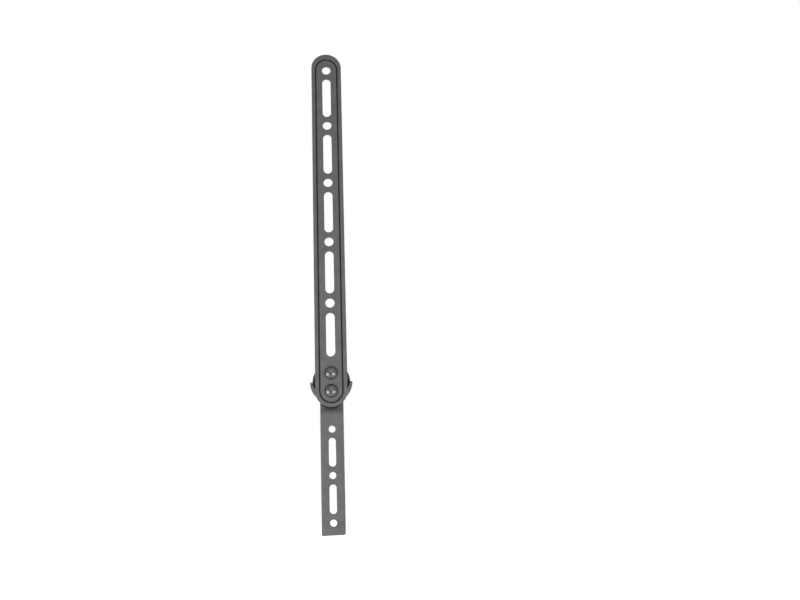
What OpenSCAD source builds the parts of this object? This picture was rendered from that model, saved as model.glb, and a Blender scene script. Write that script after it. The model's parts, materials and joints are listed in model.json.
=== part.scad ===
// Soundbar bracket: a slotted steel strip with a shorter arm bolted behind its lower end.
// Z runs up the strip and Y runs from the front to the back. The origin is the strip's middle
// round hole, at the back of its sheet.

/* [Upper bar] */
// Width of the strip
bar_w = 30.8; // [29:0.1:36]
// Thickness of the strip's sheet
bar_t = 2; // [1.6:0.1:2.4]
// Distance from one round hole to the next
bar_pitch = 62; // [56:1:75]
// Number of round holes, with a slot between each two and one after the last
bar_holes = 5; // [3:2:7]
// Diameter of the round holes
bar_hole_d = 9; // [6.5:0.1:9.5]
// Width of the slots
bar_slot_w = 8.6; // [6.5:0.1:9.5]
// Length of each slot
bar_slot_len = 42.5; // [25:0.5:44]
// Distance from the top hole up to the centre of the rounded end
top_end_rise = 3; // [0:0.25:8]

/* [Pressed groove] */
// Width of the flat rim between the strip's edge and the groove's centre line
rim_w = 4.5; // [4:0.05:5.5]
// How much lower the groove's upper arc sits than the strip's rounded end
groove_top_drop = 2; // [0:0.25:3]
// Depth of the groove, which stands out as a ridge behind
groove_depth = 1.2; // [0.8:0.1:1.4]
// Width of the groove's floor
groove_floor_w = 0.8; // [0.5:0.1:1.2]
// Sideways run of the groove's steep inner wall
groove_inner_run = 0.3; // [0.1:0.1:0.6]
// Sideways run of the groove's outer wall
groove_outer_run = 0.4; // [0.3:0.1:1.8]

/* [Bolted joint] */
// Distance from the last round hole down to the upper bolt
joint_drop = 68; // [64:1:90]
// Distance between the two bolts
bolt_gap = 17; // [16:0.5:18]
// Diameter of the bolts' shanks
bolt_d = 6; // [5:0.5:6]
// Diameter of the bolts' domed heads
bolt_head_d = 12.6; // [11:0.2:14]
// Height of the bolts' domed heads
bolt_head_h = 3.6; // [2.8:0.1:4]
// Height of the square neck under each head
bolt_neck_h = 1.6; // [1:0.1:1.6]
// Clearance all round a shank where it passes through a sheet
bolt_clear = 0.3; // [0.2:0.05:0.4]
// Clearance all round a square neck in its square hole
neck_clear = 0.1; // [0.05:0.05:0.2]
// Length of thread that shows behind the nut
bolt_tail = 2; // [1:0.5:6]
// Diameter of the washers
washer_d = 12; // [11:0.5:15]
// Thickness of the washers
washer_t = 1.6; // [1:0.1:2]
// Width of the nuts across their flats
nut_flats = 10; // [8:0.5:11]
// Height of the nuts
nut_h = 5; // [4:0.5:8]
// Clearance round the shanks inside the nuts and washers
nut_clear = 0.05; // [0.02:0.01:0.1]

/* [Curved lips] */
// How far the arm's round head reaches past each edge of the strip
head_reach = 2.7; // [2:0.1:3.4]
// Clearance between the round head and the lips that curve round it
lip_clear = 0.2; // [0.1:0.05:0.6]
// Thickness of the lips
lip_t = 1.9; // [1.5:0.1:2.5]
// How far above the joint the arc of the ears' inner edge is centred
horn_rise = 4.7; // [3:0.1:6]
// Clearance between each lip's lower end and the arm's edge
lip_side_clear = 1.2; // [0.5:0.1:2]

/* [Lower arm] */
// Width of the arm
arm_w = 22.2; // [18:0.2:23]
// Thickness of the arm's sheet
arm_t = 2; // [1.6:0.1:2.4]
// Distance from the lower bolt down to the start of the arm's step
step_start = 14; // [11.8:0.2:15]
// Length of the step that brings the arm forwards
step_len = 9.2; // [9:0.2:20]
// Distance from the lower bolt down to the arm's first round hole
arm_first = 35.9; // [34:0.2:50]
// Distance from one round hole of the arm to the next
arm_pitch = 42.3; // [40:0.2:56]
// Number of round holes in the arm, with a slot between each two
arm_holes = 3; // [2:1:5]
// Diameter of the arm's round holes
arm_hole_d = 6.4; // [5:0.1:7]
// Width of the arm's slots
arm_slot_w = 6.6; // [5:0.1:7]
// Length of each slot of the arm
arm_slot_len = 26.4; // [16:0.2:28]
// Distance from the last hole to the arm's end
arm_end = 10.7; // [8:0.1:20]
// Radius of the corners at the arm's end
arm_corner_r = 1.4; // [0.5:0.1:2.5]

/* [Hidden] */
$fn = 96;

// Reach of a cutting tool past the faces that it cuts
over = 1;

// Heights of the main features along the strip
top_hole_z = bar_pitch * (bar_holes - 1) / 2;
top_end_z = top_hole_z + top_end_rise;
groove_end_z = top_end_z - groove_top_drop;
last_hole_z = top_hole_z - bar_pitch * (bar_holes - 1);
upper_bolt_z = last_hole_z - joint_drop;
lower_bolt_z = upper_bolt_z - bolt_gap;
joint_z = (upper_bolt_z + lower_bolt_z) / 2;
step_top_z = lower_bolt_z - step_start;
arm_first_z = lower_bolt_z - arm_first;
arm_last_z = arm_first_z - arm_pitch * (arm_holes - 1);
arm_end_z = arm_last_z - arm_end;

// Depths: the back of the strip's sheet is at zero and the front is negative
bar_front_y = -bar_t;
head_front_y = groove_depth;
head_back_y = head_front_y + arm_t;
arm_front_y = bar_front_y;
washer_back_y = head_back_y + washer_t;
nut_back_y = washer_back_y + nut_h;
bolt_end_y = nut_back_y + bolt_tail;

// Radii
bar_r = bar_w / 2;
groove_r = bar_r - rim_w;
head_r = bar_r + head_reach;
lip_in_r = head_r + lip_clear;
lip_out_r = lip_in_r + lip_t;
horn_r = sqrt(lip_in_r * lip_in_r + horn_rise * horn_rise);
lip_inner_x = arm_w / 2 + lip_side_clear;

// The groove's section: radius from the end's centre, and height above the sheet's back
groove_floor_h = bar_t - groove_depth;
groove_section = [
    [groove_r - groove_floor_w / 2, groove_floor_h],
    [groove_r + groove_floor_w / 2, groove_floor_h],
    [groove_r + groove_floor_w / 2 + groove_outer_run * (1 + over / groove_depth), bar_t + over],
    [groove_r - groove_floor_w / 2 - groove_inner_run * (1 + over / groove_depth), bar_t + over]
];

// The ridge behind the groove is wider, because the sheet keeps its thickness round the bend
ridge_crest_w = groove_floor_w + bar_t / 2;
ridge_root_run = groove_depth / 2;
ridge_section = [
    [groove_r - ridge_crest_w / 2, -groove_depth],
    [groove_r + ridge_crest_w / 2, -groove_depth],
    [groove_r + ridge_crest_w / 2 + ridge_root_run, 0],
    [groove_r + ridge_crest_w / 2 + ridge_root_run, bar_t / 4],
    [groove_r - ridge_crest_w / 2 - ridge_root_run, bar_t / 4],
    [groove_r - ridge_crest_w / 2 - ridge_root_run, 0]
];

// The step is two equal arcs, one bent forwards and one bent back
step_rise = head_front_y - arm_front_y;
step_half_angle = atan(step_rise / step_len);
step_r = step_len / (2 * sin(2 * step_half_angle));
step_parts = 8;

// Points down the front of the step, as [depth, height]
function step_front() = concat(
    [for (i = [0 : step_parts])
        let (a = 2 * step_half_angle * i / step_parts)
        [head_front_y - step_r * (1 - cos(a)), step_top_z - step_r * sin(a)]],
    [for (i = [step_parts - 1 : -1 : 0])
        let (a = 2 * step_half_angle * i / step_parts)
        [arm_front_y + step_r * (1 - cos(a)), step_top_z - step_len + step_r * sin(a)]]
);

// Heights of the holes and slots
bar_hole_zs = [for (i = [0 : bar_holes - 1]) top_hole_z - bar_pitch * i];
bar_slot_zs = [for (z = bar_hole_zs) z - bar_pitch / 2];
arm_hole_zs = [for (i = [0 : arm_holes - 1]) arm_first_z - arm_pitch * i];
arm_slot_zs = [for (i = [0 : arm_holes - 2]) arm_first_z - arm_pitch * (i + 0.5)];

// A flat outline drawn in X and Z, made solid from depth y0 back to depth y1
module slab(y0, y1) {
    translate([0, y1, 0]) rotate([90, 0, 0]) linear_extrude(y1 - y0) children();
}

// A round bar along Y, from depth y0 back to depth y1
module rod(d, z, y0, y1) {
    translate([0, y1, z]) rotate([90, 0, 0]) cylinder(d = d, h = y1 - y0);
}

// A tool that cuts a slot with round ends, upright along Z
module slot_tool(w, len, z, y0, y1) {
    reach = (len - w) / 2;
    rod(w, z + reach, y0, y1);
    rod(w, z - reach, y0, y1);
    translate([-w / 2, y0, z - reach]) cube([w, y1 - y0, 2 * reach]);
}

// A section carried once round the strip: two straight sides and two half-circle ends
module racetrack(section) {
    for (side = [0, 1])
        mirror([side, 0, 0])
            translate([0, 0, lower_bolt_z])
                linear_extrude(groove_end_z - lower_bolt_z)
                    polygon([for (p = section) [p[0], -p[1]]]);
    translate([0, 0, groove_end_z]) rotate([90, 0, 0])
        rotate_extrude(angle = 180) polygon(section);
    translate([0, 0, lower_bolt_z]) rotate([90, 0, 0]) rotate([0, 0, 180])
        rotate_extrude(angle = 180) polygon(section);
}

// The strip's outline, with its two round ends
module strip_outline() {
    translate([0, top_end_z]) circle(r = bar_r);
    translate([0, lower_bolt_z]) circle(r = bar_r);
    translate([-bar_r, lower_bolt_z]) square([bar_w, top_end_z - lower_bolt_z]);
}

// The two lips curve round the lower half of the arm's head and leave room for the arm
module lip_outline(inner_r, rise) {
    difference() {
        translate([0, joint_z]) circle(r = lip_out_r);
        translate([0, joint_z + rise]) circle(r = inner_r);
        translate([-lip_out_r - over, joint_z]) square([2 * (lip_out_r + over), lip_out_r + over]);
        translate([-lip_inner_x, joint_z - lip_out_r - over]) square([2 * lip_inner_x, lip_out_r + over]);
    }
}

// The pressed strip: groove and ridge, round holes, slots, two square bolt holes and the lips
module upper_bar() {
    neck_hole = bolt_d + 2 * neck_clear;
    cut_back = groove_depth + over;
    color("#5d5d5f")
        difference() {
            union() {
                slab(bar_front_y, 0) strip_outline();
                racetrack(ridge_section);
                slab(bar_front_y, 0) lip_outline(horn_r, horn_rise);
                slab(bar_front_y, head_back_y) lip_outline(lip_in_r, 0);
            }
            racetrack(groove_section);
            for (z = bar_hole_zs) rod(bar_hole_d, z, bar_front_y - over, cut_back);
            for (z = bar_slot_zs) slot_tool(bar_slot_w, bar_slot_len, z, bar_front_y - over, cut_back);
            for (z = [upper_bolt_z, lower_bolt_z])
                translate([-neck_hole / 2, bar_front_y - over, z - neck_hole / 2])
                    cube([neck_hole, bar_t + over + cut_back, neck_hole]);
        }
}

// The arm's outline from the front, below its head, with small corners at the end
module arm_outline(w) {
    r = arm_corner_r;
    translate([-w / 2, arm_end_z + r]) square([w, joint_z - arm_end_z - r]);
    translate([-w / 2 + r, arm_end_z]) square([w - 2 * r, 2 * r]);
    for (side = [-1, 1]) translate([side * (w / 2 - r), arm_end_z + r]) circle(r = r);
}

// A side view, given as [depth, height] points, made solid from x0 to x1
module side_view(x0, x1, points) {
    translate([x0, 0, 0]) rotate([90, 0, 90]) linear_extrude(x1 - x0) polygon(points);
}

// The arm's web: flat head, step forwards, and a straight run level with the strip's front
module arm_web() {
    front = step_front();
    shifted = [for (i = [len(front) - 1 : -1 : 0]) front[i] + [arm_t, 0]];
    side_view(-arm_w / 2, arm_w / 2, concat(
        [[head_front_y, joint_z]], front, [[arm_front_y, arm_end_z]],
        [[arm_front_y + arm_t, arm_end_z]], shifted, [[head_back_y, joint_z]]
    ));
}

// One edge of the arm bent back, so that its rear edge stays level with the head's back
module arm_flange(x0) {
    side_view(x0, x0 + arm_t, concat(
        [[head_front_y, joint_z]], step_front(),
        [[arm_front_y, arm_end_z], [head_back_y, arm_end_z], [head_back_y, joint_z]]
    ));
}

// The pressed arm: round head, stepped neck, bent edges, round holes and slots
module lower_arm() {
    cut_front = arm_front_y - over;
    cut_back = head_back_y + over;
    color("#6a6a6c")
        difference() {
            union() {
                rod(2 * head_r, joint_z, head_front_y, head_back_y);
                intersection() {
                    union() {
                        arm_web();
                        arm_flange(-arm_w / 2);
                        arm_flange(arm_w / 2 - arm_t);
                    }
                    slab(cut_front, cut_back) arm_outline(arm_w);
                }
            }
            for (z = arm_hole_zs) rod(arm_hole_d, z, cut_front, cut_back);
            for (z = arm_slot_zs) slot_tool(arm_slot_w, arm_slot_len, z, cut_front, cut_back);
            for (z = [upper_bolt_z, lower_bolt_z])
                rod(bolt_d + 2 * bolt_clear, z, cut_front, cut_back);
        }
}

// A bolt with a smooth domed head, a square neck that can't turn in the strip, and a round shank
module bolt(z) {
    dome_r = (pow(bolt_head_d / 2, 2) + pow(bolt_head_h, 2)) / (2 * bolt_head_h);
    head_front = bar_front_y - bolt_head_h;
    color("#151516")
        union() {
            intersection() {
                translate([0, head_front + dome_r, z]) sphere(r = dome_r);
                rod(bolt_head_d, z, head_front - over, bar_front_y);
            }
            translate([-bolt_d / 2, bar_front_y - bolt_head_h / 4, z - bolt_d / 2])
                cube([bolt_d, bolt_neck_h + bolt_head_h / 4, bolt_d]);
            rod(bolt_d, z, bar_front_y, bolt_end_y);
        }
}

// A plain washer behind the arm's head
module washer(z) {
    color("#4a4a4c")
        difference() {
            rod(washer_d, z, head_back_y, washer_back_y);
            rod(bolt_d + 2 * nut_clear, z, head_back_y - over, washer_back_y + over);
        }
}

// A hexagon nut with its corners turned down on both faces
module nut(z) {
    corner_d = nut_flats / cos(30);
    cone_h = (corner_d - nut_flats) / 2;
    color("#4a4a4c")
        difference() {
            intersection() {
                translate([0, nut_back_y, z]) rotate([90, 0, 0]) cylinder(d = corner_d, h = nut_h, $fn = 6);
                translate([0, nut_back_y, z]) rotate([90, 0, 0]) rotate_extrude()
                    polygon([
                        [0, 0], [nut_flats / 2, 0], [corner_d / 2, cone_h / 2],
                        [corner_d / 2, nut_h - cone_h / 2], [nut_flats / 2, nut_h], [0, nut_h]
                    ]);
            }
            rod(bolt_d + 2 * nut_clear, z, washer_back_y - over, nut_back_y + over);
        }
}

upper_bar();
lower_arm();
bolt(upper_bolt_z);  // upper_bolt
bolt(lower_bolt_z);  // lower_bolt
washer(upper_bolt_z);  // upper_washer
washer(lower_bolt_z);  // lower_washer
nut(upper_bolt_z);  // upper_nut
nut(lower_bolt_z);  // lower_nut
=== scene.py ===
# %% [markdown]
# A soundbar bracket in Blender. The real one is a long strip of pressed black steel that is screwed to
# a television, with a shorter slotted arm bolted behind its lower end for the soundbar. This lesson
# dresses the bare construction model: every piece gets rounded edges, pressed forms and a coat of paint.
# The construction model is loaded first. It says where each piece is, and nothing here moves it.

# %% Load the frame
import json
import math

import bmesh
import bpy
import numpy as np
from mathutils import Matrix, Vector


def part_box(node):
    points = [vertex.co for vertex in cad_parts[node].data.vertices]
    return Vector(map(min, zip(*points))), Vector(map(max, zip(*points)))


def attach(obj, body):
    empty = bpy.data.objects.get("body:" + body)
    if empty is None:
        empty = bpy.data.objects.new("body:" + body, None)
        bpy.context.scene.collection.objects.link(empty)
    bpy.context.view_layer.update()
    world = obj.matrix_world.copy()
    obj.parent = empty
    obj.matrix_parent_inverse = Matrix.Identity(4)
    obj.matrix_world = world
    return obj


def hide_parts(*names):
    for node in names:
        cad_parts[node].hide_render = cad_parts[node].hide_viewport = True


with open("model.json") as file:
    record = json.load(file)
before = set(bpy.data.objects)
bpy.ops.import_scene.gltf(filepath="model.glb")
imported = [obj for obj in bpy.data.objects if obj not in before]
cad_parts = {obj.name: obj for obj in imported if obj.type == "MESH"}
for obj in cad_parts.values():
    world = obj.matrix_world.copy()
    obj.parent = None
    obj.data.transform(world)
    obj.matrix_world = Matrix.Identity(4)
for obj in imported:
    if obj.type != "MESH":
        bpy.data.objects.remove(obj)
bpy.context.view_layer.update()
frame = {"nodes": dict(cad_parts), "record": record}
print("nodes:", sorted(frame["nodes"]))

# %% [markdown]
# All lengths below are in millimetres, because a bracket is drawn in millimetres. Blender works in
# metres, so points are scaled once, when a mesh is made. The sizes of whole pieces are read from the
# frame, and only what the frame doesn't tell, such as the radius of an edge, is named here.

# %% Sizes from the frame
MM = 0.001


def node_box(node):
    """Lowest and highest corner of a construction node, in millimetres."""
    low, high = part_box(node)
    return np.array(low) / MM, np.array(high) / MM


strip_low, strip_high = node_box("upper_bar")
arm_low, arm_high = node_box("lower_arm")
bolt_boxes = {place: node_box(place + "_bolt") for place in ("upper", "lower")}
washer_boxes = {place: node_box(place + "_washer") for place in ("upper", "lower")}
nut_boxes = {place: node_box(place + "_nut") for place in ("upper", "lower")}
mounts = {m["name"]: m for m in frame["record"]["mounts"]}

upper_bolt_z = (bolt_boxes["upper"][0][2] + bolt_boxes["upper"][1][2]) / 2
lower_bolt_z = (bolt_boxes["lower"][0][2] + bolt_boxes["lower"][1][2]) / 2
joint_z = (upper_bolt_z + lower_bolt_z) / 2
print("bolts at Z", upper_bolt_z, "and", lower_bolt_z)

# %% Sizes of the strip
SHEET = 2.0
strip_front = strip_low[1]
strip_back = strip_front + SHEET
STRIP_R = 15.4
hole_pitch = mounts["tv_holes"]["dims"]["spacing_y_mm"] / 2
hole_r = mounts["tv_holes"]["dims"]["hole_r_mm"]
slot_r = mounts["tv_slots_middle"]["dims"]["hole_r_mm"]
slot_reach = mounts["tv_slots_middle"]["dims"]["slot_length_mm"] / 2 - slot_r
strip_hole_zs = [hole_pitch * k for k in (2, 1, 0, -1, -2)]
TOP_END_RISE = 3.0
GROOVE_TOP_DROP = 2.0
strip_top_z = strip_hole_zs[0] + TOP_END_RISE
groove_top_z = strip_top_z - GROOVE_TOP_DROP
strip_slot_zs = [z - hole_pitch / 2 for z in strip_hole_zs]
print("holes at Z", strip_hole_zs, "slots at Z", strip_slot_zs)

# %% Sizes of the arm
ARM_HALF_W = 11.1
head_r = arm_high[0]
arm_front = arm_low[1]
arm_back = arm_high[1]
head_front = arm_back - SHEET
arm_end_z = arm_low[2]
arm_hole_r = mounts["soundbar_holes_upper"]["dims"]["hole_r_mm"]
arm_slot_r = mounts["soundbar_slots"]["dims"]["hole_r_mm"]
arm_slot_reach = mounts["soundbar_slots"]["dims"]["slot_length_mm"] / 2 - arm_slot_r
arm_pitch = mounts["soundbar_slots"]["dims"]["spacing_y_mm"]
arm_middle_z = mounts["soundbar_face"]["pos_m"][2] / MM
arm_hole_zs = [arm_middle_z + arm_pitch * k for k in (1, 0, -1)]
arm_slot_zs = [arm_middle_z + arm_pitch / 2 * k for k in (1, -1)]
print("arm holes at Z", arm_hole_zs, "slots at Z", arm_slot_zs)

# %% [markdown]
# The camera repeats the photograph's view. The even pitch of the holes tells how the picture shrinks
# with distance, and the round holes tell where the picture's middle is. The camera stands about half a
# metre in front, level with the two bolts, and looks up a little. It is made first.

# %% Camera
CAMERA_PLACE = (25.7, -550.8, -214.9)
TURN_RIGHT = math.radians(4.5)
TILT_UP = math.radians(9.5)
ROLL = math.radians(-2.14)
FRAME_W = 800
FOCAL_PX = 564.2
VIEW_REACH = 50


def make_camera():
    """Aims the camera: it looks along +Y, turns to the right, tilts up, then rolls about its own view."""
    data = bpy.data.cameras.new("camera")
    data.sensor_fit = "HORIZONTAL"
    data.lens = data.sensor_width * FOCAL_PX / FRAME_W
    data.clip_end = VIEW_REACH
    camera = bpy.data.objects.new("camera", data)
    bpy.context.scene.collection.objects.link(camera)
    turn = Matrix.Rotation(-TURN_RIGHT, 4, "Z")
    tilt = Matrix.Rotation(math.pi / 2 + TILT_UP, 4, "X")
    roll = Matrix.Rotation(ROLL, 4, "Z")
    place = Matrix.Translation([v * MM for v in CAMERA_PLACE])
    camera.matrix_world = place @ turn @ tilt @ roll
    bpy.context.scene.camera = camera
    print("lens", round(data.lens, 1), "mm")


make_camera()

# %% [markdown]
# Every mesh here is a grid: a shape is a function of two parameters, worked out for the whole grid at
# once, and a face joins each four neighbours. A grid may close on itself in either direction, like a
# ring. Several grids that share their edges are put together and their double points are merged, which
# gives one closed skin. Its signed volume then tells whether the faces point outwards.

# %% Grids to meshes
MERGE = 1e-6


def grid_faces(rows, cols, wrap_rows, wrap_cols):
    """Four corners of each face: point (i, j), its neighbours (i+1, j) and (i, j+1), and (i+1, j+1)."""
    i, j = np.meshgrid(np.arange(rows - (not wrap_rows)), np.arange(cols - (not wrap_cols)), indexing="ij")
    i2, j2 = (i + 1) % rows, (j + 1) % cols
    corners = [i * cols + j, i2 * cols + j, i2 * cols + j2, i * cols + j2]
    return np.stack([c.ravel() for c in corners], axis=1)


def mesh_from_grids(name, grids):
    """One closed mesh from grids in millimetres, each (points, wrap_rows, wrap_cols), faces outwards."""
    points, faces, start = [], [], 0
    for grid, wrap_rows, wrap_cols in grids:
        rows, cols = grid.shape[:2]
        faces.append(grid_faces(rows, cols, wrap_rows, wrap_cols) + start)
        points.append(grid.reshape(-1, 3) * MM)
        start += rows * cols
    mesh = bpy.data.meshes.new(name)
    mesh.from_pydata(np.concatenate(points), [], np.concatenate(faces))
    work = bmesh.new()
    work.from_mesh(mesh)
    bmesh.ops.remove_doubles(work, verts=work.verts, dist=MERGE)
    bmesh.ops.dissolve_degenerate(work, edges=work.edges, dist=MERGE)
    bmesh.ops.recalc_face_normals(work, faces=work.faces)
    if work.calc_volume(signed=True) < 0:
        bmesh.ops.reverse_faces(work, faces=work.faces)
    open_edges = sum(not edge.is_manifold for edge in work.edges)
    volume = work.calc_volume(signed=True)
    work.to_mesh(mesh)
    work.free()
    print(f"{name}: {len(mesh.polygons)} faces, {volume * 1e9:.0f} mm3, open edges: {open_edges}")
    return mesh


def make_piece(name, mesh, slot, *nodes):
    """A smooth-shaded piece that stands for its construction nodes, which it hides. The slot is not used."""
    mesh.polygons.foreach_set("use_smooth", np.ones(len(mesh.polygons), dtype=bool))
    piece = bpy.data.objects.new(name, mesh)
    bpy.context.scene.collection.objects.link(piece)
    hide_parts(*nodes)
    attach(piece, "root")
    return piece


# %% [markdown]
# Sheet metal has no knife edges. A punch leaves a rolled lip round each hole, a press leaves soft bends,
# and paint rounds what is left. So each section is drawn as a few corners and a radius for each, and one
# helper turns every corner into an arc. The arc touches both lines at the distance radius x tan(half
# the turn) from the corner.

# %% Rounded sections
ARC_STEPS = 4


def round_corners(corners, radii, steps=ARC_STEPS):
    """An open line whose inner corners are arcs: centre = corner + radius / sin(half opening) inwards."""
    corners = np.array(corners, dtype=float)
    line = [corners[:1]]
    for before, corner, after, radius in zip(corners, corners[1:], corners[2:], radii):
        u = (before - corner) / np.linalg.norm(before - corner)
        v = (after - corner) / np.linalg.norm(after - corner)
        half_opening = math.acos(np.clip(u @ v, -1, 1)) / 2
        reach = radius / math.tan(half_opening)
        inwards = (u + v) / np.linalg.norm(u + v)
        centre = corner + inwards * radius / math.sin(half_opening)
        start, end = corner + u * reach - centre, corner + v * reach - centre
        swing = math.pi - 2 * half_opening
        t = np.linspace(0, 1, steps + 1)[:, None]
        line.append(centre + (start * np.sin((1 - t) * swing) + end * np.sin(t * swing)) / math.sin(swing))
    line.append(corners[-1:])
    return np.concatenate(line)


def add_supports(line, gap=0.15):
    """Adds a point close to both ends of each long stretch, so that flat faces keep flat shading."""
    step = np.diff(line, axis=0)
    length = np.linalg.norm(step, axis=1)
    parts = [line[:1]]
    for start, move, size, end in zip(line, step, length, line[1:]):
        if size > 4 * gap:
            parts.append(np.array([start + move * gap / size, end - move * gap / size]))
        parts.append(end[None])
    return np.concatenate(parts)


# %% [markdown]
# The strip and the arm are both flat sheets with holes, a long outline and a shaped edge. Both are made
# the same way. The edge is a section carried round the outline. The flat part inside it is cut into
# cells, one round each hole. In a cell every point of the border looks straight at the nearest point of
# its hole, and the lines between them, run through the hole and back, are the sheet's front, the
# hole's rolled edges and the sheet's back.

# %% Levels along a side
TURN_STEPS = 11
LEVEL_STEP = 4


def cell_levels(top, bottom, centre, reach, half_w):
    """Heights on a side, evenly turned as seen from the hole's round ends: z = end +- half_w tan(turn)."""
    high_end, low_end = centre + reach, centre - reach
    above = np.linspace(math.atan2(top - high_end, half_w), 0, TURN_STEPS)
    below = np.linspace(0, math.atan2(low_end - bottom, half_w), TURN_STEPS)
    straight = np.linspace(high_end, low_end, 2 + int(reach // LEVEL_STEP))
    return np.concatenate([high_end + half_w * np.tan(above), straight, low_end - half_w * np.tan(below)])


def tidy_levels(levels):
    """Joined heights from the highest down, with no height twice."""
    return np.unique(np.round(np.concatenate(levels), 5))[::-1]


# %% Cells round the holes
ROLL_FRONT = 0.45
ROLL_BACK = 0.25
ACROSS_TURN = math.radians(50)
ACROSS_STEPS = 25
across = np.tan(np.linspace(ACROSS_TURN, -ACROSS_TURN, ACROSS_STEPS)) / math.tan(ACROSS_TURN)


def cell_border(edge, top, bottom):
    """A closed border: down the right edge, across, up the left edge and across again."""
    right = edge[top:bottom + 1]
    left = (right * [-1, 1])[::-1]
    parts = []
    for side, crossing in ((right, across), (left, -across)):
        parts.append(side)
        end = side[-1]
        if abs(end[0]) > MERGE:
            row = np.stack([abs(end[0]) * crossing[1:-1], np.full(len(across) - 2, end[1])], axis=1)
            parts.append(row)
    border = np.concatenate(parts)
    keep = np.linalg.norm(border - np.roll(border, 1, axis=0), axis=1) > MERGE
    return border[keep]


def hole_section(front, back):
    """Distance outside the hole's wall and depth, from the front's flat round both rolled edges."""
    wall = [[2 * ROLL_FRONT, front], [0, front], [0, back], [2 * ROLL_BACK, back]]
    return add_supports(round_corners(wall, [ROLL_FRONT, ROLL_BACK]))


def cell_grid(border, centre, reach, radius, front, back, square=False):
    """Rings from the border to the hole's nearest point: point = pole + (radius + away) x direction."""
    pole = np.stack([np.zeros(len(border)), np.clip(border[:, 1], centre - reach, centre + reach)], axis=1)
    out = border - pole
    size = np.abs(out).max(axis=1) if square else np.linalg.norm(out, axis=1)
    direction = out / size[:, None]
    section = hole_section(front, back)
    rings = pole[:, None] + (radius + section[None, :, :1]) * direction[:, None]
    depth = np.broadcast_to(section[:, 1], rings.shape[:2])
    inside = np.stack([rings[..., 0], depth, rings[..., 1]], axis=2)
    ends = []
    for y in (front, back):
        end = np.stack([border[:, 0], np.full(len(border), y), border[:, 1]], axis=1)
        ends.append(end[:, None])
    return np.concatenate([ends[0], inside, ends[1]], axis=1)


# %% [markdown]
# The strip is one pressed sheet. A narrow groove runs all round it, a few millimetres inside its edge.
# Both its walls are steep, so from the front it is a thin dark line, and behind it the metal stands out
# as a ridge. The section below goes from the flat part across the groove and the rim, round the edge,
# and back over the ridge. It is carried round the strip as a racetrack: straight sides and half-circle
# ends. At the top the rim's half-circle is centred a little higher than the groove's, so between the
# radii RIM_FROM and RIM_TO the centre of the end rises with the radius.

# %% The strip's section
GROOVE_R = 10.9
GROOVE_DEPTH = 1.2
GROOVE_FLOOR = 0.8
INNER_WALL_RUN = 0.25
OUTER_WALL_RUN = 0.4
RIDGE_TOP_W = 1.8
RIDGE_FOOT_W = 3.0
WEB_R = 8.6
RIM_FROM = GROOVE_R + 1.7
RIM_TO = STRIP_R - 1.0
GROOVE_ROUNDS = [0.2, 0.2, 0.2, 0.3]
EDGE_ROUNDS = [0.6, 0.4]
RIDGE_ROUNDS = [0.5, 0.5, 0.5, 0.5]


def strip_section():
    """Radius and depth of the strip's edge, from the flat front out over the rim and back inside."""
    floor = strip_front + GROOVE_DEPTH
    crest = strip_back + GROOVE_DEPTH
    floor_in, floor_out = GROOVE_R - GROOVE_FLOOR / 2, GROOVE_R + GROOVE_FLOOR / 2
    corners = [
        [WEB_R, strip_front],
        [floor_in - INNER_WALL_RUN, strip_front],
        [floor_in, floor],
        [floor_out, floor],
        [floor_out + OUTER_WALL_RUN, strip_front],
        [STRIP_R, strip_front],
        [STRIP_R, strip_back],
        [GROOVE_R + RIDGE_FOOT_W / 2, strip_back],
        [GROOVE_R + RIDGE_TOP_W / 2, crest],
        [GROOVE_R - RIDGE_TOP_W / 2, crest],
        [GROOVE_R - RIDGE_FOOT_W / 2, strip_back],
        [WEB_R, strip_back],
    ]
    return add_supports(round_corners(corners, GROOVE_ROUNDS + EDGE_ROUNDS + RIDGE_ROUNDS))


print("points in the section:", len(strip_section()))

# %% The strip's outline
END_STEPS = 31
END_TURN = np.linspace(0, math.pi / 2, END_STEPS)


def halfway(upper, lower):
    """The heights halfway between neighbouring holes, where one cell meets the next."""
    return [(a + b) / 2 for a, b in zip(upper, lower)]


strip_holes = []
for hole_z, slot_z in zip(strip_hole_zs, strip_slot_zs):
    strip_holes.append((hole_z, 0, hole_r, False))
    strip_holes.append((slot_z, slot_reach, slot_r, False))
NECK_HOLE_HALF = 3.1
strip_holes.append((upper_bolt_z, 0, NECK_HOLE_HALF, True))
strip_holes.append((lower_bolt_z, 0, NECK_HOLE_HALF, True))
lower_ends = [z - reach for z, reach, r, square in strip_holes[:-1]]
upper_ends = [z + reach for z, reach, r, square in strip_holes[1:]]
strip_cuts = [groove_top_z] + halfway(lower_ends, upper_ends) + [lower_bolt_z]
strip_levels = tidy_levels([
    cell_levels(top, bottom, z, reach, WEB_R)
    for top, bottom, (z, reach, r, square) in zip(strip_cuts, strip_cuts[1:], strip_holes)
])
print("cells in the strip:", len(strip_holes), "levels on each side:", len(strip_levels))


def strip_edge(radius):
    """Right half of a racetrack, from its top down: arc, straight side, arc. The rim's top is higher."""
    rim_share = min(max((radius - RIM_FROM) / (RIM_TO - RIM_FROM), 0), 1)
    centre_z = groove_top_z + GROOVE_TOP_DROP * rim_share
    top = np.stack([radius * np.sin(END_TURN), centre_z + radius * np.cos(END_TURN)], axis=1)
    side = np.stack([np.full(len(strip_levels), radius), strip_levels], axis=1)
    low = np.stack([radius * np.cos(END_TURN), lower_bolt_z - radius * np.sin(END_TURN)], axis=1)
    return np.concatenate([top[:-1], side, low[1:]])


# %% The strip's mesh
def both_halves(right):
    """Closes a right half with its mirror image, along the first axis, with no point twice."""
    left = (right * np.array([-1, 1, 1]))[::-1]
    return np.concatenate([right, left[1:-1]])


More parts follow.
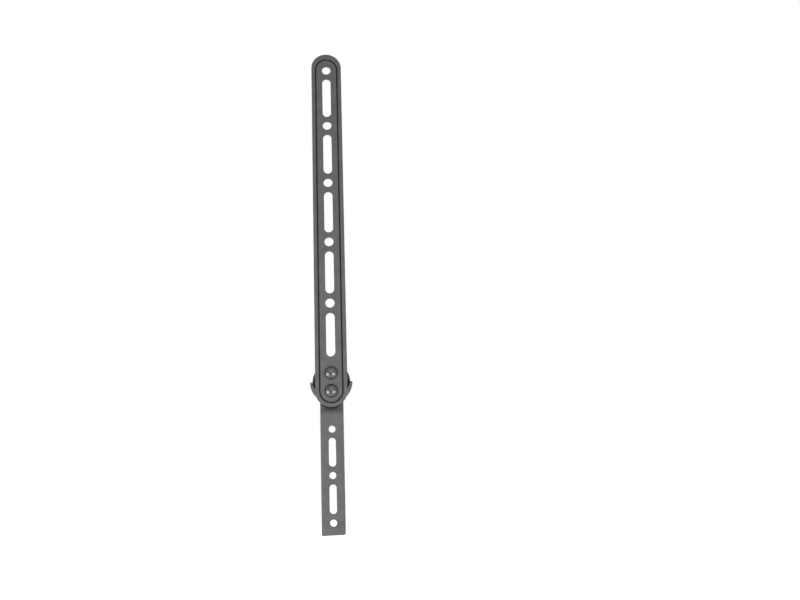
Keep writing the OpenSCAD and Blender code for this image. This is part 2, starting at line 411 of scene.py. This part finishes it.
def strip_band():
    """The section carried round the outline: point = racetrack of the section's radius, at its depth."""
    columns = []
    for radius, depth in strip_section():
        edge = strip_edge(radius)
        columns.append(np.stack([edge[:, 0], np.full(len(edge), depth), edge[:, 1]], axis=1))
    return both_halves(np.stack(columns, axis=1))


def strip_cells():
    """One cell for each hole, cut where the outline passes the heights between the holes."""
    edge = strip_edge(WEB_R)
    off_side = edge[:, 0] < WEB_R - MERGE
    between = [int(np.argmin(abs(edge[:, 1] - z) + off_side)) for z in strip_cuts[1:-1]]
    cuts = [0] + between + [len(edge) - 1]
    grids = []
    for top, bottom, (z, reach, radius, square) in zip(cuts, cuts[1:], strip_holes):
        border = cell_border(edge, top, bottom)
        grids.append((cell_grid(border, z, reach, radius, strip_front, strip_back, square), True, False))
    return grids


strip_mesh = mesh_from_grids("strip", [(strip_band(), True, False)] + strip_cells())

# %% [markdown]
# At its lower end the strip's sheet goes on as two ears, which curve out from below and end in a point
# beside the bolts. From the front an ear is a flat horn: its outer edge is an arc about the joint, and
# its inner edge an arc about a higher centre, so that it opens out of the strip's edge like a hook.
# Behind that flat face the ear is a wall that follows the arm's round head. The section of horn and wall
# is swept down the arc. Ear and strip are one sheet, so a Boolean modifier joins their skins. The ear's
# face lies a hair behind the strip's, because two faces in exactly one plane are hard to join.

# %% The ears
LIP_GAP = 0.2
LIP_IN_R = head_r + LIP_GAP
LIP_OUT_R = strip_high[0]
HORN_RISE = 4.7
HORN_R = math.hypot(LIP_IN_R, HORN_RISE)
LIP_SIDE_GAP = 1.2
LIP_END_X = ARM_HALF_W + LIP_SIDE_GAP
LIP_STEPS = 28
LIP_HAIR = 0.004
LEDGE_MIN = 0.15
EAR_ROOT_IN = 2.4
EAR_ROOT_R = GROOVE_R + EAR_ROOT_IN
EAR_ROUNDS = (0.3, 0.6, 0.4, 0.4)
LEDGE_ROUND = 0.03
LEAST_ROUND = 0.02
EAR_END_ROUND = 0.35


def horn_inner(turn):
    """Distance from the joint to the ear's inner edge: the horn's arc, but never inside the groove."""
    sin, cos = math.sin(turn), math.cos(turn)
    arc = math.sqrt(HORN_R ** 2 - (HORN_RISE * cos) ** 2) - HORN_RISE * sin
    drop = joint_z - lower_bolt_z
    beside = EAR_ROOT_R / cos
    below = drop * sin + math.sqrt(EAR_ROOT_R ** 2 - (drop * cos) ** 2)
    root = beside if beside * sin < drop else below
    return min(max(arc, root), LIP_IN_R - LEDGE_MIN)


def ear_section(inner, inset):
    """Radius and depth of horn and wall: a box with a ledge where the flat face reaches further inwards."""
    front, back, ledge = strip_front + LIP_HAIR + inset, arm_back - inset, strip_back - inset
    near, wall, far = inner + inset, LIP_IN_R + inset, LIP_OUT_R - inset
    corners = [[near, front], [far, front], [far, back], [wall, back], [wall, ledge], [near, ledge]]
    start = [near, (front + ledge) / 2]
    radii = [max(r - inset, LEAST_ROUND) for r in EAR_ROUNDS] + [LEDGE_ROUND, LEDGE_ROUND]
    return round_corners([start] + corners + [start], radii)[:-1]


def ear_grid(side):
    """Point = joint centre + radius (cos turn, -sin turn); the turn ends where x reaches the end plane."""
    bends = np.linspace(0, math.pi / 2, 4)[:-1]
    track = [(EAR_END_ROUND * (1 - math.cos(a)), 0.0, EAR_END_ROUND * (1 - math.sin(a))) for a in bends]
    track += [(EAR_END_ROUND, t, 0.0) for t in np.linspace(0, 1, LIP_STEPS)]
    rows = []
    for shift, t, inset in track:
        section = ear_section(horn_inner(t * math.acos(LIP_END_X / LIP_IN_R)), inset)
        radius = section[:, 0]
        turn = t * np.arccos(LIP_END_X / np.maximum(radius, LIP_IN_R))
        x = radius * np.cos(turn)
        z = joint_z - radius * np.sin(turn) - shift * (1 - t)
        rows.append(np.stack([side * x, section[:, 1], z], axis=1))
    middles = [row.mean(axis=0) + 0 * row for row in (rows[0], rows[-1])]
    return np.stack([middles[0]] + rows + [middles[1]])


def joined(mesh, *others):
    """The mesh and the others as one skin, by the exact Boolean union."""
    body = bpy.data.objects.new("body", mesh)
    helpers = [bpy.data.objects.new("helper", other) for other in others]
    for obj in [body] + helpers:
        bpy.context.scene.collection.objects.link(obj)
    for helper in helpers:
        union = body.modifiers.new("union", "BOOLEAN")
        union.operation = "UNION"
        union.solver = "EXACT"
        union.object = helper
    result = bpy.data.meshes.new_from_object(body.evaluated_get(bpy.context.evaluated_depsgraph_get()))
    for obj in [body] + helpers:
        bpy.data.objects.remove(obj)
    print("joined:", len(result.polygons), "faces")
    return result


ear_meshes = [mesh_from_grids("ear", [(ear_grid(side), False, True)]) for side in (-1, 1)]
strip_piece = make_piece("strip", joined(strip_mesh, *ear_meshes), "bar_coat", "upper_bar")

# %% [markdown]
# The arm is a second sheet. Its round head lies behind the strip, then the sheet steps forwards in two
# soft bends and runs down level with the strip's front. Its long edges are bent back for stiffness.
# The flat pattern is made first, and every point is then pushed in depth by one function of its height,
# the way a press tool makes the step.

# %% The arm's step
STEP_START = 14.0
STEP_LEN = 9.2
step_top_z = lower_bolt_z - STEP_START
step_rise = head_front - arm_front
step_turn = math.atan(step_rise / STEP_LEN)
step_r = STEP_LEN / (2 * math.sin(2 * step_turn))


def front_level(z):
    """Depth of the sheet's front: two arcs, each departing r - sqrt(r^2 - u^2) from its flat."""
    down = np.clip(step_top_z - z, 0, STEP_LEN)
    away = np.minimum(down, STEP_LEN - down)
    bend = step_r - np.sqrt(step_r ** 2 - away ** 2)
    return np.where(down < STEP_LEN / 2, head_front - bend, arm_front + bend)


print("front of the head", front_level(joint_z), "front of the arm", front_level(arm_middle_z))

# %% The arm's levels
ARM_WEB_IN = 3.6
NECK_FILLET = 1.0
CORNER_R = 1.4
NECK_CUT_DROP = 10.5
NECK_CUT_Z = lower_bolt_z - NECK_CUT_DROP
STEP_ROWS = 20
FIRST_CUT_GAP = 0.6
arm_web_w = ARM_HALF_W - ARM_WEB_IN
fillet_x = ARM_HALF_W + NECK_FILLET
fillet_z = joint_z - math.sqrt((head_r + NECK_FILLET) ** 2 - fillet_x ** 2)
fillet_turn = math.atan2(joint_z - fillet_z, fillet_x)
ARM_BOLT_HOLE_R = 3.3
arm_rounds = [(z, 0, arm_hole_r) for z in arm_hole_zs]
arm_slots = [(z, arm_slot_reach, arm_slot_r) for z in arm_slot_zs]
arm_holes = sorted(arm_rounds + arm_slots, reverse=True)
arm_lower_ends = [z - reach for z, reach, r in arm_holes[:-1]]
arm_upper_ends = [z + reach for z, reach, r in arm_holes[1:]]
arm_first_cut = step_top_z - STEP_LEN - FIRST_CUT_GAP
arm_cuts = [arm_first_cut] + halfway(arm_lower_ends, arm_upper_ends) + [arm_end_z + ARM_WEB_IN]
arm_levels = tidy_levels([
    np.linspace(fillet_z, NECK_CUT_Z, 6),
    np.linspace(NECK_CUT_Z, step_top_z, 3),
    np.linspace(step_top_z, step_top_z - STEP_LEN, STEP_ROWS),
    np.array([arm_first_cut]),
] + [
    cell_levels(top, bottom, z, reach, arm_web_w)
    for top, bottom, (z, reach, r) in zip(arm_cuts, arm_cuts[1:], arm_holes)
])
print("levels on each side of the arm:", len(arm_levels))

# %% The arm's outline
HEAD_STEPS = 40
UNDER_STEPS = 16
FILLET_STEPS = 6
CORNER_STEPS = 6
low_row = across[:len(across) // 2 + 1]


def arm_edge(inset):
    """Right half of the outline, moved inwards: head arc, hollow fillet, side, corner, half the end."""
    above = np.linspace(math.pi / 2, 0, HEAD_STEPS)
    turn = np.concatenate([above, np.linspace(0, -fillet_turn, UNDER_STEPS)[1:]])
    head = np.stack([np.cos(turn), np.sin(turn)], axis=1) * (head_r - inset) + [0, joint_z]
    turn = np.linspace(math.pi - fillet_turn, math.pi, FILLET_STEPS)
    fillet = np.stack([np.cos(turn), np.sin(turn)], axis=1) * (NECK_FILLET + inset) + [fillet_x, fillet_z]
    side = np.stack([np.full(len(arm_levels), ARM_HALF_W - inset), arm_levels], axis=1)
    corner_in = max(CORNER_R, inset)
    centre = np.array([ARM_HALF_W - corner_in, arm_end_z + corner_in])
    turn = np.linspace(0, -math.pi / 2, CORNER_STEPS)
    corner = centre + np.stack([np.cos(turn), np.sin(turn)], axis=1) * (corner_in - inset)
    end = np.stack([centre[0] * low_row, np.full(len(low_row), arm_end_z + inset)], axis=1)
    return np.concatenate([head, fillet[1:-1], side, corner[1:], end[1:]])


def flange_share():
    """1 where the edges are bent back, 0 round the head and at the end, where the sheet is just cut."""
    edge = arm_edge(0)
    share = (arm_back - SHEET - front_level(edge[:, 1])) / step_rise
    share[-len(low_row):] = 0
    corner = slice(-len(low_row) - CORNER_STEPS + 1, -len(low_row) + 1)
    share[corner] = np.linspace(1, 0, CORNER_STEPS + 1)[1:]
    return share


# %% The arm's section
FLANGE_BEND = 2.3
CUT_ROUND = 0.45
REAR_ROUND = 0.4
INNER_BEND = 0.8
BEND_STEPS = 7
SUPPORT_GAP = 0.2
SUPPORT_HAIR = 0.02


def arm_section(share, front):
    """Inset and depth of the edge, front to back, for a share of the full flange behind the sheet."""
    rear = front + SHEET + step_rise * share
    outer = CUT_ROUND + (FLANGE_BEND - CUT_ROUND) * share
    inner_round, inner_bend = REAR_ROUND * share, INNER_BEND * share
    turn = np.linspace(0, math.pi / 2, BEND_STEPS)
    sin, cos = np.sin(turn), np.cos(turn)
    line = [
        np.array([[ARM_WEB_IN, front], [outer + SUPPORT_GAP, front]]),
        np.stack([outer * (1 - sin), front + outer * (1 - cos)], axis=1),
        np.array([[0, front + outer + SUPPORT_HAIR], [0, rear - REAR_ROUND - SUPPORT_HAIR]]),
        np.stack([REAR_ROUND * (1 - cos), rear - REAR_ROUND * (1 - sin)], axis=1),
        np.stack([SHEET - inner_round * (1 - sin), rear - inner_round * (1 - cos)], axis=1),
        np.stack([SHEET + inner_bend * (1 - cos), front + SHEET + inner_bend * (1 - sin)], axis=1),
        np.array([[SHEET + inner_bend + SUPPORT_GAP, front + SHEET], [ARM_WEB_IN, front + SHEET]]),
    ]
    return np.concatenate(line)


plain_section = arm_section(0.0, 0.0)
bent_section = arm_section(1.0, 0.0)
print("points in the arm's section:", len(plain_section))


# %% The arm's mesh
OFF_SIDE = 100.0


def arm_band():
    """Section of each station, from the plain cut to the full flange, pushed in depth with its height."""
    share = flange_share()
    station = np.arange(len(share))
    columns = []
    for plain, bent in zip(plain_section, bent_section):
        inset = plain[0] + (bent[0] - plain[0]) * share
        depth = plain[1] + (bent[1] - plain[1]) * share
        steps, which = np.unique(np.round(inset, 6), return_inverse=True)
        edge = np.stack([arm_edge(step) for step in steps])[which, station]
        columns.append(np.stack([edge[:, 0], depth + front_level(edge[:, 1]), edge[:, 1]], axis=1))
    return both_halves(np.stack(columns, axis=1))


def pushed(grid):
    """Moves a flat pattern's points in depth: y = y + front level of its height."""
    grid = grid.copy()
    grid[..., 1] += front_level(grid[..., 2])
    return grid


def arm_cells():
    """Cells for two bolt holes in the head, a plain net over the step, and a cell for each lower hole."""
    edge = arm_edge(ARM_WEB_IN)
    on_side = abs(edge[:, 0] - arm_web_w) < MERGE

    def row_at(z):
        return int(np.argmin(abs(edge[:, 1] - z) + OFF_SIDE * ~on_side))

    middle = HEAD_STEPS - 1
    neck = row_at(NECK_CUT_Z)
    cuts = [row_at(z) for z in arm_cuts[:-1]] + [len(edge) - 1]
    grids = []
    for top, bottom, z in ((0, middle, upper_bolt_z), (middle, neck, lower_bolt_z)):
        border = cell_border(edge, top, bottom)
        grids.append((pushed(cell_grid(border, z, 0, ARM_BOLT_HOLE_R, 0, SHEET)), True, False))
    levels = edge[neck:cuts[0] + 1, 1]
    for depth in (0, SHEET):
        x, z = np.meshgrid(across * arm_web_w, levels, indexing="ij")
        net = np.stack([x, np.full(x.shape, depth), z], axis=2)
        grids.append((pushed(net), False, False))
    for top, bottom, (z, reach, radius) in zip(cuts, cuts[1:], arm_holes):
        border = cell_border(edge, top, bottom)
        grids.append((pushed(cell_grid(border, z, reach, radius, 0, SHEET)), True, False))
    return grids


arm_mesh = mesh_from_grids("arm", [(arm_band(), True, False)] + arm_cells())
arm_piece = make_piece("arm", arm_mesh, "arm_coat", "lower_arm")

# %% [markdown]
# Two bolts clamp the arm to the strip. Their heads are smooth glossy domes, with a square neck below
# that sits in the strip's square hole, so that only the nut behind has to be turned. A bolt is a
# surface of revolution: a section of radius and depth, turned about the bolt's axis. On the thread the
# radius rises and falls along a helix, and at the neck the circle becomes a rounded square.

# %% Turned pieces
TURN_COUNT = 96
turn_angles = np.linspace(0, 2 * math.pi, TURN_COUNT, endpoint=False)


def turned(radii, depths, z):
    """Point = (radius cos turn, depth, z + radius sin turn), one row for each turn."""
    angle = turn_angles[:, None]
    radii = np.broadcast_to(radii, (TURN_COUNT, len(depths)))
    depths = np.broadcast_to(depths, radii.shape)
    return np.stack([radii * np.cos(angle), depths, z + radii * np.sin(angle)], axis=2)


def thread(root_r, crest_r, pitch, depths):
    """Radius along a helix: a smooth wave of the depth in pitches less the turn in circles."""
    wave = depths[None, :] / pitch - turn_angles[:, None] / (2 * math.pi)
    return (root_r + crest_r) / 2 + (crest_r - root_r) / 2 * np.cos(2 * math.pi * wave)


# %% Bolts
NECK_DEPTH = 1.6
THREAD_PITCH = 1.0
THREAD_CUT = 0.3
THREAD_ROWS = 12
THREAD_AFTER = 1.0
TIP_IN = 0.8
TIP_FLAT = 0.2
TIP_LEAST = 0.35
HEAD_LIP = 0.35
RIM_IN = 0.15
DOME_STEPS = 28
NECK_ROWS = 4
NECK_CORNER = 1.3
BOLT_R = 3.0
bolt_low, bolt_high = bolt_boxes["upper"]
bolt_head_r = (bolt_high[0] - bolt_low[0]) / 2
bolt_tip = bolt_high[1]
dome_h = strip_front - bolt_low[1]


def dome_line():
    """Radius and depth of the domed head, from its top to the strip: a sphere cap on a thin rim."""
    cap_h, cap_r = dome_h - HEAD_LIP, bolt_head_r - RIM_IN
    sphere_r = (cap_r ** 2 + cap_h ** 2) / (2 * cap_h)
    turn = np.linspace(0, math.asin(cap_r / sphere_r), DOME_STEPS)
    top = bolt_low[1]
    cap = np.stack([sphere_r * np.sin(turn), top + sphere_r * (1 - np.cos(turn))], axis=1)
    rim = [[bolt_head_r, strip_front - HEAD_LIP + RIM_IN], [bolt_head_r, strip_front], [BOLT_R, strip_front]]
    return np.concatenate([cap, np.array(rim)])


def bolt_grid(z):
    """Dome, square neck, plain shank and threaded end, closed at both poles."""
    dome = dome_line()
    neck = np.linspace(strip_front, strip_front + NECK_DEPTH, NECK_ROWS)
    square = BOLT_R / np.maximum(abs(np.cos(turn_angles)), abs(np.sin(turn_angles)))
    square = np.minimum(square, BOLT_R * NECK_CORNER)[:, None]
    shank_end = arm_back + THREAD_AFTER
    cut = np.arange(shank_end, bolt_tip - THREAD_CUT, THREAD_PITCH / THREAD_ROWS)
    helix = thread(BOLT_R - 2 * THREAD_CUT, BOLT_R, THREAD_PITCH, cut)
    ease = np.clip((bolt_tip - TIP_FLAT - cut) / TIP_IN, TIP_LEAST, 1)
    helix = np.minimum(helix, BOLT_R - TIP_IN * (1 - ease))
    rows = [
        turned(dome[:-1, 0], dome[:-1, 1], z),
        turned(np.repeat(square, len(neck), axis=1), neck, z),
        turned([BOLT_R, BOLT_R], [strip_front + NECK_DEPTH, shank_end - 0.1], z),
        turned(helix, cut, z),
        turned([BOLT_R - TIP_IN, 0.0], [bolt_tip, bolt_tip], z),
    ]
    return np.concatenate(rows, axis=1)


bolt_pieces = []
for place, z in (("upper", upper_bolt_z), ("lower", lower_bolt_z)):
    mesh = mesh_from_grids(place + "_dome_bolt", [(bolt_grid(z), True, False)])
    bolt_pieces.append(make_piece(place + "_dome_bolt", mesh, "bolt_black", place + "_bolt"))

# %% [markdown]
# The washers and nuts are hidden in the photograph, so they are plain ones of the usual sizes. A washer
# is a thin ring stamped from sheet, its section a box with softened corners. A nut is a hexagon whose
# corners are turned down by a cone on both faces: its radius is the smaller of the hexagon's and the
# cone's. Its bore is a helix like the bolt's, with a wider mouth at each face.

# %% Washers
washer_low, washer_high = washer_boxes["upper"]
washer_r = (washer_high[0] - washer_low[0]) / 2
BORE_GAP = 0.05
WASHER_ROUNDS = (0.15, 0.15, 0.3, 0.2)


def box_section(low_u, high_u, low_v, high_v, radii):
    """A closed box with round corners, in order from the corner low u, low v."""
    corners = [[low_u, low_v], [high_u, low_v], [high_u, high_v], [low_u, high_v]]
    start = [low_u, (low_v + high_v) / 2]
    return round_corners([start] + corners + [start], radii)[:-1]


washer_line = box_section(BOLT_R + BORE_GAP, washer_r, washer_low[1], washer_high[1], WASHER_ROUNDS)
washer_pieces = []
for place, z in (("upper", upper_bolt_z), ("lower", lower_bolt_z)):
    ring = turned(washer_line[:, 0], washer_line[:, 1], z)
    mesh = mesh_from_grids(place + "_flat_washer", [(ring, True, True)])
    washer_pieces.append(make_piece(place + "_flat_washer", mesh, "nut_black", place + "_washer"))

# %% Nuts
nut_low, nut_high = nut_boxes["upper"]
nut_flat_r = (nut_high[2] - nut_low[2]) / 2
nut_corner_r = nut_flat_r / math.cos(math.pi / 6)
CONE_H = (nut_corner_r - nut_flat_r) / 2
CORNER_WEAR = 0.06
CONE_SHARE = 0.98
CONE_SLOPE = 2.2
WALL_ROWS = 5
NUT_THREAD = 0.35
MOUTH_DEPTH = 0.4
MOUTH_WIDER = 0.5
MOUTH_BREAK = 0.1
MOUTH_FALL = 0.15
FACE_SHARE = 0.9


def hexagon():
    """Radius of a hexagon, corners along X: half its width over cos of the turn from the nearest flat."""
    from_flat = turn_angles % (math.pi / 3) - math.pi / 6
    return np.minimum(nut_flat_r / np.cos(from_flat), nut_corner_r - CORNER_WEAR)


def nut_grid(z):
    """Outer wall under two cones, then the near face, the threaded bore and the far face."""
    low_y, high_y = nut_low[1], nut_high[1]
    steps = np.linspace(0, 2 * CONE_H, WALL_ROWS)
    wall_y = np.concatenate([low_y + steps, high_y - steps[::-1]])
    cone = nut_flat_r * CONE_SHARE + np.minimum(wall_y - low_y, high_y - wall_y) * CONE_SLOPE
    outer = np.minimum(hexagon()[:, None], cone[None, :])
    bore_y = np.arange(high_y - MOUTH_DEPTH, low_y + MOUTH_DEPTH, -THREAD_PITCH / THREAD_ROWS)
    bore = thread(BOLT_R + BORE_GAP, BOLT_R + BORE_GAP + NUT_THREAD, THREAD_PITCH, bore_y)
    mouth, face_r = BOLT_R + MOUTH_WIDER, nut_flat_r * FACE_SHARE
    mouth_radii = [face_r, mouth + MOUTH_BREAK, mouth - MOUTH_BREAK]
    rows = [
        turned(outer, wall_y, z),
        turned(mouth_radii, [high_y, high_y, high_y - MOUTH_FALL], z),
        turned(bore, bore_y, z),
        turned(mouth_radii[::-1], [low_y + MOUTH_FALL, low_y, low_y], z),
    ]
    return np.concatenate(rows, axis=1)


nut_pieces = []
for place, z in (("upper", upper_bolt_z), ("lower", lower_bolt_z)):
    mesh = mesh_from_grids(place + "_hex_nut", [(nut_grid(z), True, True)])
    nut_pieces.append(make_piece(place + "_hex_nut", mesh, "nut_black", place + "_nut"))

# %% [markdown]
# Powder coat is paint that was sprayed on dry and baked. It looks dark grey and soft, with a very fine
# orange-peel skin that breaks up reflections. Two noises make it: a fine one tilts the surface as bumps
# of about a tenth of a millimetre would, and a broad one changes the grey and the gloss a little. In
# creases, such as the groove and the corner below the strip's end, shade is painted into the tone: the
# grey is made darker there. Real paint isn't darker there: this painted shade helps soft light to show
# each crease as the dark line that it is.

# %% Powder coat
GRAIN_SCALE = 1100.0
MOTTLE_SCALE = 90.0
CREASE_REACH = 8.0
CREASE_DARK = 0.06
CREASE_CLOSED = 0.5
CREASE_OPEN = 0.9
CREASE_SAMPLES = 8
NOISE_LOW = 0.3
NOISE_HIGH = 0.7
MOTTLE_DETAIL = 4
GRAIN_DETAIL = 3


def noise(nodes, links, coords, scale, detail):
    """A noise on Object coordinates, with that many features per metre."""
    node = nodes.new("ShaderNodeTexNoise")
    node.inputs["Scale"].default_value = scale
    node.inputs["Detail"].default_value = detail
    links.new(coords.outputs["Object"], node.inputs["Vector"])
    return node


def spread(nodes, links, source, low, high):
    """Maps a noise's middle range to the range low to high."""
    node = nodes.new("ShaderNodeMapRange")
    node.inputs["From Min"].default_value = NOISE_LOW
    node.inputs["From Max"].default_value = NOISE_HIGH
    node.inputs["To Min"].default_value = low
    node.inputs["To Max"].default_value = high
    links.new(source.outputs["Fac"], node.inputs["Value"])
    return node


def blended_grey(nodes, links, source, dark, light):
    """A grey that wanders between two tones with a noise."""
    ramp = nodes.new("ShaderNodeValToRGB")
    ramp.color_ramp.elements[0].position = NOISE_LOW
    ramp.color_ramp.elements[1].position = NOISE_HIGH
    ramp.color_ramp.elements[0].color = (*dark, 1)
    ramp.color_ramp.elements[1].color = (*light, 1)
    links.new(source.outputs["Fac"], ramp.inputs["Fac"])
    return ramp


def painted_crease_shade(nodes, links, tone):
    """Painted shade: the tone times a factor, 1 on open faces, down to CREASE_DARK where walls stand close
    by.
    """
    openness = nodes.new("ShaderNodeAmbientOcclusion")
    openness.samples = CREASE_SAMPLES
    openness.inputs["Distance"].default_value = CREASE_REACH * MM
    factor = nodes.new("ShaderNodeMapRange")
    factor.inputs["From Min"].default_value = CREASE_CLOSED
    factor.inputs["From Max"].default_value = CREASE_OPEN
    factor.inputs["To Min"].default_value = CREASE_DARK
    links.new(openness.outputs["AO"], factor.inputs["Value"])
    product = nodes.new("ShaderNodeMix")
    product.data_type = "RGBA"
    product.blend_type = "MULTIPLY"
    product.inputs["Factor"].default_value = 1.0
    links.new(tone.outputs["Color"], product.inputs[6])
    links.new(factor.outputs["Result"], product.inputs[7])
    return product.outputs[2]


def coated_metal(name, tones, rough, grain, grain_scale):
    """Paint on metal: a grey between two tones with painted shade in creases, a roughness between two
    values, and a fine grain.
    """
    material = bpy.data.materials.new(name)
    material.use_nodes = True
    nodes, links = material.node_tree.nodes, material.node_tree.links
    shader = nodes["Principled BSDF"]
    coords = nodes.new("ShaderNodeTexCoord")
    mottle = noise(nodes, links, coords, MOTTLE_SCALE, MOTTLE_DETAIL)
    fine = noise(nodes, links, coords, grain_scale, GRAIN_DETAIL)
    tone = blended_grey(nodes, links, mottle, *tones)
    # Painted shade: ambient occlusion darkens the grey in creases, where shade falls.
    links.new(painted_crease_shade(nodes, links, tone), shader.inputs["Base Color"])
    gloss = spread(nodes, links, mottle, *rough)
    links.new(gloss.outputs["Result"], shader.inputs["Roughness"])
    bump = nodes.new("ShaderNodeBump")
    bump.inputs["Distance"].default_value = grain * MM
    links.new(fine.outputs["Fac"], bump.inputs["Height"])
    links.new(bump.outputs["Normal"], shader.inputs["Normal"])
    print(name, "made")
    return material


def dress(pieces, material):
    """Gives each piece that one material."""
    for piece in pieces:
        piece.data.materials.clear()
        piece.data.materials.append(material)


# %% Coats of the strip and the arm
COAT_TONES = ((0.112, 0.112, 0.115), (0.14, 0.14, 0.143))
COAT_ROUGH = (0.5, 0.58)
COAT_GRAIN = 0.12
COAT_SPECULAR = 0.2

for piece, name in ((strip_piece, "bar_coat"), (arm_piece, "arm_coat")):
    coat = coated_metal(name, COAT_TONES, COAT_ROUGH, COAT_GRAIN, GRAIN_SCALE)
    coat.node_tree.nodes["Principled BSDF"].inputs["Specular IOR Level"].default_value = COAT_SPECULAR
    dress([piece], coat)

# %% [markdown]
# The dome heads are glossy black, smooth as enamel, and mirror the lamps as two bright spots each. The
# nuts and washers behind have a satin black plating, duller and a little lighter, with finer grain.

# %% Bolt black and nut black
FINE_SCALE = 3000.0
BOLT_TONES = ((0.008, 0.008, 0.009), (0.013, 0.013, 0.014))
BOLT_ROUGH = (0.1, 0.14)
BOLT_GRAIN = 0.001
BOLT_IOR = 1.85
NUT_TONES = ((0.03, 0.03, 0.032), (0.045, 0.045, 0.047))
NUT_ROUGH = (0.38, 0.48)
NUT_GRAIN = 0.008

bolt_black = coated_metal("bolt_black", BOLT_TONES, BOLT_ROUGH, BOLT_GRAIN, FINE_SCALE)
nut_black = coated_metal("nut_black", NUT_TONES, NUT_ROUGH, NUT_GRAIN, FINE_SCALE)
bolt_black.node_tree.nodes["Principled BSDF"].inputs["IOR"].default_value = BOLT_IOR
dress(bolt_pieces, bolt_black)
dress(washer_pieces + nut_pieces, nut_black)

# %% [markdown]
# The bracket hangs in a bright plain studio. Two soft lamps stand low on the left and on the right, a
# wider and weaker one hangs above, two stand behind it for its back, and a pale world fills the rest.
# The world and the floor are white to the camera and in reflections, but to the object's coat they are
# only a dim even light.

# %% Lamps
AIM = (0, 0, -200)


def soft_lamp(name, place, size, power):
    """A square lamp, lengths in millimetres: its own -Z axis points from its place to AIM."""
    data = bpy.data.lights.new(name, "AREA")
    data.shape = "SQUARE"
    data.size = size * MM
    data.energy = power
    lamp = bpy.data.objects.new(name, data)
    bpy.context.scene.collection.objects.link(lamp)
    way = np.array(AIM, dtype=float) - np.array(place, dtype=float)
    turn = Vector(way).to_track_quat("-Z", "Y").to_matrix().to_4x4()
    lamp.matrix_world = Matrix.Translation([v * MM for v in place]) @ turn
    print(name, "stands", round(np.linalg.norm(way)), "mm away")


soft_lamp("lamp_left", (-600, -370, -460), 560, 4.7)
soft_lamp("lamp_right", (430, -540, -490), 560, 4.7)
soft_lamp("lamp_top", (60, -900, 300), 1000, 2.4)
soft_lamp("lamp_back_left", (-800, 850, 100), 700, 11.0)
soft_lamp("lamp_back_right", (850, 800, -500), 700, 9.0)

# %% World
WORLD_LIGHT = 0.08


def seen_directly(nodes, links):
    """1 for a ray that comes from the camera, off a glossy surface or through a clear one, else 0."""
    path = nodes.new("ShaderNodeLightPath")
    total = path.outputs["Is Camera Ray"]
    for kind in ("Is Glossy Ray", "Is Transmission Ray"):
        larger = nodes.new("ShaderNodeMath")
        larger.operation = "MAXIMUM"
        links.new(total, larger.inputs[0])
        links.new(path.outputs[kind], larger.inputs[1])
        total = larger.outputs["Value"]
    return larger


def make_world():
    """Plain pale light on the object, and white where the camera or a reflection looks past it."""
    world = bpy.data.worlds.new("world")
    bpy.context.scene.world = world
    world.use_nodes = True
    nodes, links = world.node_tree.nodes, world.node_tree.links
    background = nodes["Background"]
    background.inputs["Color"].default_value = (1, 1, 1, 1)
    strength = nodes.new("ShaderNodeMapRange")
    strength.inputs["To Min"].default_value = WORLD_LIGHT
    strength.inputs["To Max"].default_value = 1.0
    links.new(seen_directly(nodes, links).outputs["Value"], strength.inputs["Value"])
    links.new(strength.outputs["Result"], background.inputs["Strength"])
    print("world light:", WORLD_LIGHT)


make_world()

# %% Floor
FLOOR_Z = -600
FLOOR_GLOW = 0.9
FLOOR_HALF = 4000
FLOOR_GREY = 0.8
FLOOR_ROUGH = 0.9


def make_floor():
    """A wide pale floor below the camera, white to the camera and in reflections, and plain otherwise."""
    corners = [(-1, -1), (1, -1), (1, 1), (-1, 1)]
    points = [(x * FLOOR_HALF * MM, y * FLOOR_HALF * MM, FLOOR_Z * MM) for x, y in corners]
    mesh = bpy.data.meshes.new("floor")
    mesh.from_pydata(points, [], [(0, 1, 2, 3)])
    floor = bpy.data.objects.new("floor", mesh)
    bpy.context.scene.collection.objects.link(floor)
    material = bpy.data.materials.new("floor_white")
    material.use_nodes = True
    nodes, links = material.node_tree.nodes, material.node_tree.links
    shader = nodes["Principled BSDF"]
    shader.inputs["Base Color"].default_value = (FLOOR_GREY, FLOOR_GREY, FLOOR_GREY, 1)
    shader.inputs["Roughness"].default_value = FLOOR_ROUGH
    shader.inputs["Emission Color"].default_value = (1, 1, 1, 1)
    glow = nodes.new("ShaderNodeMapRange")
    glow.inputs["To Max"].default_value = FLOOR_GLOW
    links.new(seen_directly(nodes, links).outputs["Value"], glow.inputs["Value"])
    links.new(glow.outputs["Result"], shader.inputs["Emission Strength"])
    mesh.materials.append(material)
    print("floor at", FLOOR_Z, "mm")


make_floor()

# %% [markdown]
# The colours are shown as written, with no film look.

# %% Finish
bpy.context.scene.view_settings.view_transform = "Standard"
